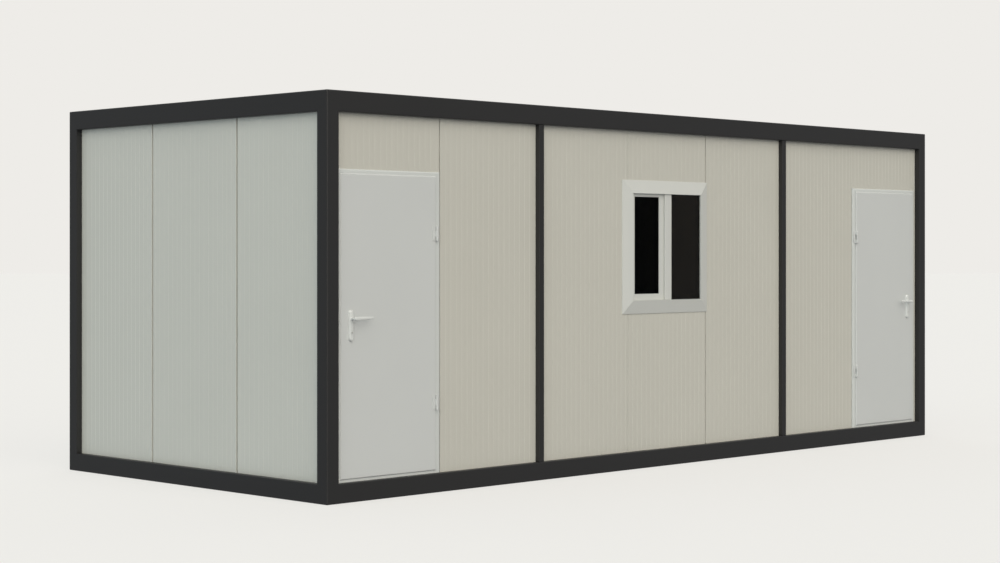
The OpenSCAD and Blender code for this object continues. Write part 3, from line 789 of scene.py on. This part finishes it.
piece("floor_joists_rolled",
      shaded(joined("joists", [lipped_channel(p.min(axis=0), p.max(axis=0)) for p in JOISTS])),
      ZINC, "cabin", ["floor_joists"])

piece("roof_sheets", eased("roof_panels", 1.5 * MM, 2, 20), ROOF_SHEET, "cabin",
      ["roof_panels"])


def roof_screw_places():
    """Rows of screws along the crest of each roof rib."""
    places = []
    for points in solids("roof_panels"):
        top = points[points[:, 2] > points[:, 2].max() - 0.1 * MM]
        edges = sorted({round(x, 4) for x in top[:, 0]})
        for a, b in zip(edges, edges[1:]):
            if b - a < CREST_MOST:
                places += [((a + b) / 2, (k / (ROOF_SCREW_ROWS - 1) - 0.5) * ROOF_SCREW_SPAN,
                            points[:, 2].max()) for k in range(ROOF_SCREW_ROWS)]
    return places


piece("roof_screws", heads("roof_screws", HEX, roof_screw_places(), (0, 0, 1), 5, SCREW_METAL),
      SCREW_METAL, "cabin")


# ---------------------------------------------------------------- doors

def strip(name, paths, radius, finish):
    """A round strip along each path of points."""
    bm = bmesh.new()
    for path in paths:
        row = [bm.verts.new(p) for p in path]
        for near, far in zip(row, row[1:]):
            bm.edges.new((near, far))
        if len(path) > 2 and (Vector(path[0]) - Vector(path[-1])).length < HAIR:
            bmesh.ops.pointmerge(bm, verts=[row[0], row[-1]], merge_co=row[0].co)
    source = bpy.data.meshes.new(name)
    bm.to_mesh(source)
    bm.free()
    made = grown(name, STRIP, {"Radius": radius, "Material": finish}, source)
    dress(made, finish)
    bm = bmesh.new()
    bm.from_mesh(made)
    return shaded(mesh_of(bm, name), 40)


def rounded_outline(half_w, bottom, top, radius, steps=5):
    """Points round a rectangle with round corners."""
    made = []
    for cx, cz, start in ((half_w - radius, top - radius, 0), (-half_w + radius, top - radius, 90),
                          (-half_w + radius, bottom + radius, 180),
                          (half_w - radius, bottom + radius, 270)):
        for k in range(steps + 1):
            angle = math.radians(start + 90 * k / steps)
            made.append((cx + radius * math.cos(angle), cz + radius * math.sin(angle)))
    return made


LEVER_Z = 1205 * MM      # height of the lever's axis
LEVER_BACK = 80 * MM     # lock edge of the leaf to the lever's axis
CYLINDER_Z = -92 * MM    # the lever's axis down to the key cylinder


def handle_plate():
    """The long domed plate with round ends, the key cylinder's collar and its core.

    y = 0 is the face of the leaf and -y stands out; z = 0 is the lever's axis."""
    half_w, bottom, top, thick = 21 * MM, -149 * MM, 57 * MM, 14 * MM
    rings = []
    for inset, depth in ((0, 0), (0, 4.0), (0.7, 7.0), (2.2, 9.8), (4.6, 12.0), (8.0, 13.4),
                         (12.0, 14.0)):
        inset *= MM
        outline = rounded_outline(half_w - inset, bottom + inset, top - inset,
                                  half_w - inset - 0.4 * MM, 8)
        rings.append([(x, -depth * MM, z) for x, z in outline])
    plate = rings_mesh(rings, "plate")
    collar = lathe([(0, thick - 1 * MM), (8.5 * MM, thick - 1 * MM), (8.5 * MM, thick + 1.6 * MM),
                    (7.6 * MM, thick + 2.6 * MM), (6.6 * MM, thick + 2.6 * MM),
                    (6.2 * MM, thick + 1.2 * MM), (0, thick + 1.2 * MM)], 28)
    core = lathe([(0, thick + 0.6 * MM), (5.4 * MM, thick + 0.6 * MM),
                  (5.4 * MM, thick + 1.9 * MM), (0, thick + 1.9 * MM)], 20)
    for part in (collar, core):
        part.transform(Matrix.Translation((0, 0, CYLINDER_Z)))
    collar.materials.append(FITTINGS)
    core.materials.append(NICKEL)
    return plate, joined("key_cylinder", [collar, core])


def lathe(profile, count=24):
    """A solid of revolution about the Y axis: pairs of radius and height along -Y."""
    bm = bmesh.new()
    rows = []
    for radius, height in profile:
        if radius < 0.001 * MM:
            rows.append([bm.verts.new((0, -height, 0))])
        else:
            rows.append([bm.verts.new((radius * math.cos(math.tau * i / count), -height,
                                       radius * math.sin(math.tau * i / count)))
                         for i in range(count)])
    for near, far in zip(rows, rows[1:]):
        for i in range(count):
            j = (i + 1) % count
            face = [near[i % len(near)], near[j % len(near)],
                    far[j % len(far)], far[i % len(far)]]
            bm.faces.new(list(dict.fromkeys(face)))
    return mesh_of(bm, "turned")


LEVER_STAND = 55         # the leaf's face to the middle of the blade, in millimetres


def lever_blade():
    """The cast lever: a round neck that swells into a blade tapering to its tip."""
    rings = []
    stations = [(-11.8, 3.4, 2.6, 0), (-11.0, 7.2, 4.3, 0), (-8.5, 10.2, 5.4, 0),
                (-4, 11.7, 6.0, 0), (2, 12.0, 6.0, 0), (14, 11.9, 5.9, 0.1),
                (34, 11.5, 5.6, 0.5), (62, 10.8, 5.3, 1.2), (90, 10.1, 5.1, 1.9),
                (118, 9.4, 4.9, 2.6), (138, 8.9, 4.7, 3.1), (148, 8.3, 4.4, 3.4),
                (152.6, 6.4, 3.6, 3.5), (154.6, 3.6, 2.2, 3.5), (155, 1.6, 1.1, 3.5)]
    # Millimetres from the axis, half height, half thickness, and rise of the middle
    for x, half_h, half_t, rise in stations:
        ring = []
        for k in range(20):
            angle = math.tau * k / 20
            c, s = math.cos(angle), math.sin(angle)
            across = math.copysign(abs(c) ** 0.75, c) * half_t
            up = math.copysign(abs(s) ** 0.75, s) * half_h
            ring.append((x * MM, (across - LEVER_STAND) * MM, (up + rise) * MM))
        rings.append(ring)
    blade = rings_mesh(rings, "blade")
    neck = lathe([(radius * MM, rise * MM) for radius, rise in (
        (0, 14.3), (12, 14.3), (12, 16), (11.4, 17.6), (9.6, 19.4), (8.8, 23), (8.6, 38),
        (9.6, 46), (9.2, 52), (0, 55))], 28)
    return [blade, neck]


def both_sides(meshes, axis_x, face_y, leaf_t, z, toward_hinge):
    """Copies for the outside of a leaf and, mirrored, for the inside."""
    made = []
    for depth, flip in ((face_y, 1), (face_y + leaf_t, -1)):
        matrix = Matrix.Translation((axis_x, depth, z)) @ Matrix.Diagonal(
            (toward_hinge, flip, 1, 1))
        for mesh in meshes:
            made.append(placed(mesh.copy(), matrix))
    return made


FLAP_T, FLAP_W = 3.2 * MM, 25 * MM   # a hinge flap is thinner than the first, and this wide


def hinge_screws(node, count=3):
    """Places for the screws down the middle of each flap, on its outer face."""
    places = []
    for points in solids(node):
        z_lo, z_hi = points[:, 2].min(), points[:, 2].max()
        foot = points[points[:, 2] < z_lo + 0.1 * MM]
        flap = foot[np.abs(foot[:, 1] - points[:, 1].max()) < FLAP_T]
        x_lo, x_hi = flap[:, 0].min(), flap[:, 0].max()
        axis = points[points[:, 1] < points[:, 1].min() + 1 * MM][:, 0].mean()
        side = x_hi if abs(x_hi - axis) > abs(x_lo - axis) else x_lo
        middle = side + (FLAP_W / 2 if side < axis else -FLAP_W / 2)
        for k in range(count):
            places.append((middle, flap[:, 1].min(), z_lo + (z_hi - z_lo) * (k + 0.5) / count))
    return places


JAMB, HEAD, SILL = 41 * MM, 30 * MM, 20 * MM
FRAME_ROUND = 20 * MM    # width of the frame's curved outer edge
FRAME_PROUD = 8 * MM     # how far that edge falls back to the panels


def folded_frame(node):
    """A door frame folded from sheet: its outer edge curves back to the panels."""
    lo, hi = corners(node)
    rounds = [math.radians(angle) for angle in range(0, 91, 10)]
    steps = [(0, 0, 0, hi.y)]
    steps += [(FRAME_ROUND * (1 - math.cos(a)), FRAME_ROUND * (1 - math.cos(a)), 0.4 * MM * a,
               lo.y + FRAME_PROUD * (1 - math.sin(a))) for a in rounds]
    steps += [(JAMB - 0.8 * MM, HEAD - 0.8 * MM, SILL - 0.8 * MM, lo.y),
              (JAMB, HEAD, SILL, lo.y + 0.8 * MM), (JAMB, HEAD, SILL, hi.y)]
    rings = [rectangle(lo.x + jamb, hi.x - jamb, lo.z + sill, hi.z - head, y)
             for jamb, head, sill, y in steps]
    return shaded(rings_mesh(rings, node, endless=True), 20)


LIP_HINGE, LIP_LOCK, LIP_END = 4.8 * MM, 9.0 * MM, 7.0 * MM   # reach of a leaf's lip
BORE_R = 8 * MM          # radius of the hole for the spindle


def pressed_leaf(lo, hi, hinge_way):
    """A rebated leaf: a bevelled face with a thin lip over the gap to its frame."""
    left, right = (LIP_LOCK, LIP_HINGE) if hinge_way > 0 else (LIP_HINGE, LIP_LOCK)
    rings = []
    for lip, inset, depth in ((1, 8.0, 0), (1, 6.6, 0.4), (1, 0.8, 4.6), (1, 0, 5.4),
                              (1, 0, 6.3), (0, 0, 6.3), (0, 0, 43.6), (0, 1.4, 45)):
        rings.append(rectangle(
            lo.x - lip * left + inset * MM, hi.x + lip * right - inset * MM,
            lo.z - lip * LIP_END + inset * MM, hi.z + lip * LIP_END - inset * MM,
            lo.y + depth * MM))
    return rings_mesh(rings, "leaf")


def door(side):
    """A door with its frame, stops, seal, leaf, handles and hinges."""
    door_body = f"{side}_door"
    hinge_way = 1 if side == "left" else -1
    leaf_lo, leaf_hi = corners(f"{side}_door_leaf")
    lock_x = leaf_lo.x if side == "left" else leaf_hi.x
    axis_x = lock_x + hinge_way * LEVER_BACK
    leaf_t = leaf_hi.y - leaf_lo.y

    piece(f"{side}_door_frame_folded", folded_frame(f"{side}_door_frame"),
          DOOR_FRAME, "cabin", [f"{side}_door_frame"])
    piece(f"{side}_door_stops_folded", eased(f"{side}_door_stops", 1 * MM, 2),
          DOOR_FRAME, "cabin", [f"{side}_door_stops"])
    bore = lathe([(0, 10 * MM), (BORE_R, 10 * MM), (BORE_R, -leaf_t - 10 * MM),
                  (0, -leaf_t - 10 * MM)], 32)
    bore.transform(Matrix.Translation((axis_x, leaf_lo.y, LEVER_Z)))
    leaf = cut(pressed_leaf(leaf_lo, leaf_hi, hinge_way), bore)
    piece(f"{side}_door_leaf_pressed", shaded(leaf, 20), DOOR_SHEET, door_body,
          [f"{side}_door_leaf"])

    # The seal lies on the stops, just clear of the closed leaf
    stop_lo, stop_hi = corners(f"{side}_door_stops")
    y = stop_lo.y - 1.7 * MM
    inset = 10 * MM
    seal = [(stop_lo.x + inset, y, stop_lo.z + 4 * MM), (stop_lo.x + inset, y, stop_hi.z - inset),
            (stop_hi.x - inset, y, stop_hi.z - inset), (stop_hi.x - inset, y, stop_lo.z + 4 * MM)]
    piece(f"{side}_door_seal", strip("seal", [seal], 2.0 * MM, RUBBER), RUBBER, "cabin")

    plate, collar = handle_plate()
    plates = both_sides([plate], axis_x, leaf_lo.y, leaf_t, LEVER_Z, hinge_way)
    collars = both_sides([collar], axis_x, leaf_lo.y, leaf_t, LEVER_Z, hinge_way)
    piece(f"{side}_handle_plates_cast", shaded(joined("plates", plates), 50), FITTINGS,
          door_body, [f"{side}_handle_plates"])
    piece(f"{side}_key_cylinder", shaded(joined("collars", collars), 35), None,
          door_body)
    levers = both_sides(lever_blade(), axis_x, leaf_lo.y, leaf_t, LEVER_Z, hinge_way)
    spindle = lathe([(0, 0), (4.9 * MM, 0), (4.9 * MM, leaf_t + 40 * MM), (0, leaf_t + 40 * MM)], 4)
    spindle.transform(Matrix.Translation((axis_x, leaf_hi.y + 20 * MM, LEVER_Z)))
    piece(f"{side}_door_lever_cast", shaded(joined("levers", levers + [spindle]), 50),
          FITTINGS, f"{side}_lever", [f"{side}_door_lever"])

    for node, body in ((f"{side}_hinge_posts", "cabin"), (f"{side}_hinge_flaps", door_body)):
        piece(f"{node}_eased", eased(node, 0.6 * MM, 2, 50), DOOR_SHEET, body,
              [node])
        piece(f"{node}_screws", heads("screws", SCREW, hinge_screws(node), (0, -1, 0), 3,
                                      DOOR_SHEET), DOOR_SHEET, body)


for side in ("left", "right"):
    door(side)


# ---------------------------------------------------------------- window

for node, form, edge_mm, segments in (
        ("window_casing", "mitred", 1.6, 3), ("window_lining", "boards", 1, 2),
        ("window_upright", "profile", 3, 3), ("window_sash", "profile", 2, 3),
        ("window_inside_casing", "boards", 1.5, 2)):
    piece(f"{node}_{form}", eased(node, edge_mm * MM, segments), VINYL, "cabin",
          [node])


def glass_unit(node, glass):
    """Two panes with a spacer between them near their edge."""
    lo, hi = corners(node)
    pane = 4 * MM

    def round_edge(inset, y):
        return rectangle(lo.x + inset, hi.x - inset, lo.z + inset, hi.z - inset, y)

    panes = [box_mesh(lo, (hi.x, lo.y + pane, hi.z), 0.5 * MM),
             box_mesh((lo.x, hi.y - pane, lo.z), hi, 0.5 * MM)]
    y0, y1 = lo.y + pane + 0.1 * MM, hi.y - pane - 0.1 * MM
    spacer = [round_edge(inset * MM, y) for inset, y in ((3, y0), (9, y0), (9, y1), (3, y1))]
    piece(f"{node}_panes", shaded(joined("panes", panes)), glass, "cabin",
          [node])
    piece(f"{node}_spacer", shaded(rings_mesh(spacer, "spacer", endless=True)), SPACER, "cabin")
    seals = [round_edge(0.2 * MM, y) for y in (lo.y + 0.4 * MM, hi.y - 0.4 * MM)]
    piece(f"{node}_gasket", strip("gasket", [seal + seal[:1] for seal in seals], 1.0 * MM,
                                  RUBBER), RUBBER, "cabin")


glass_unit("window_sash_glass", GREY_GLASS)
# The fixed pane gets the lighter glass, whose tint is a painted sheen
glass_unit("window_fixed_glass", SHEEN_PAINTED_GLASS)


# ---------------------------------------------------------------- carried-over nodes

for name in ("base_side_beams", "base_end_beams", "roof_side_beams", "roof_end_beams"):
    dress(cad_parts[name].data, FRAME_PAINT)


# ---------------------------------------------------------------- stage, light and camera

def sun(name, brightness, spread, colour, toward):
    """A soft distant light; brightness is what a white surface facing it would show."""
    data = bpy.data.lights.new(name, "SUN")
    data.energy = brightness * math.pi
    data.angle = math.radians(spread)
    data.color = srgb(colour)[:3]
    made = bpy.data.objects.new(name, data)
    made.rotation_euler = Vector(toward).to_track_quat("Z", "Y").to_euler()
    bpy.context.scene.collection.objects.link(made)
    return made


sun("front_light", 0.67, 75, "#FFFAEE", (-0.22, -0.47, 0.40))
sun("left_light", 0.39, 150, "#DAF4FF", (-0.80, 0.45, 0.35)).visible_glossy = False
sun("back_light", 0.35, 80, "#FFFFFF", (0.60, 0.60, 0.50))

world = bpy.data.worlds.new("studio")
bpy.context.scene.world = world
world.use_nodes = True
sky = world.node_tree
direction = add(sky, "ShaderNodeTexCoord").outputs["Generated"]
height = add(sky, "ShaderNodeSeparateXYZ", {0: direction}).outputs["Z"]
level = add(sky, "ShaderNodeMapRange",
            {"Value": height, "From Min": -0.3, "From Max": 0.3}).outputs["Result"]
shade = add(sky, "ShaderNodeValToRGB", {"Fac": level})
shade.color_ramp.elements[0].color = (0.24, 0.245, 0.25, 1)
shade.color_ramp.elements[1].color = (0.35, 0.36, 0.37, 1)
sky.links.new(shade.outputs["Color"], sky.nodes["Background"].inputs["Color"])

BACKDROP = "#EEECE8"


def studio(name, mesh, glow):
    """A pale surface round the cabin that glows, so it stays even; below 1 it takes shadows."""
    made = bpy.data.objects.new(name, mesh)
    bpy.context.scene.collection.objects.link(made)
    paint, tree, shader = material(f"studio_{name}_pale")
    shader.inputs["Base Color"].default_value = srgb("#7C7B79") if glow < 1 else (0, 0, 0, 1)
    shader.inputs["Roughness"].default_value = 1.0
    shader.inputs["Specular IOR Level"].default_value = 0.0
    shader.inputs["Emission Color"].default_value = srgb(BACKDROP)
    shader.inputs["Emission Strength"].default_value = glow
    mesh.materials.append(paint)
    made.visible_diffuse = made.visible_glossy = made.visible_shadow = False


bm = bmesh.new()
bmesh.ops.create_cone(bm, cap_ends=False, segments=96, radius1=140, radius2=140, depth=160)
studio("backdrop", mesh_of(bm, "backdrop"), 1.0)
studio("floor", box_mesh((-150, -150, -0.06), (150, 150, -0.001)), 0.75)

# A long lens at eye height, off the cabin's front left corner
camera_data = bpy.data.cameras.new("camera")
camera_data.lens = 71.9
camera_data.sensor_width = 36
camera_data.shift_y = -0.0299
camera_data.clip_end = 500
camera = bpy.data.objects.new("camera", camera_data)
camera.location = (-11.890, -11.425, 1.646)
camera.rotation_euler = (math.radians(90), 0, math.radians(-45.16))
bpy.context.scene.collection.objects.link(camera)
bpy.context.scene.camera = camera
bpy.context.scene.view_settings.view_transform = "Standard"
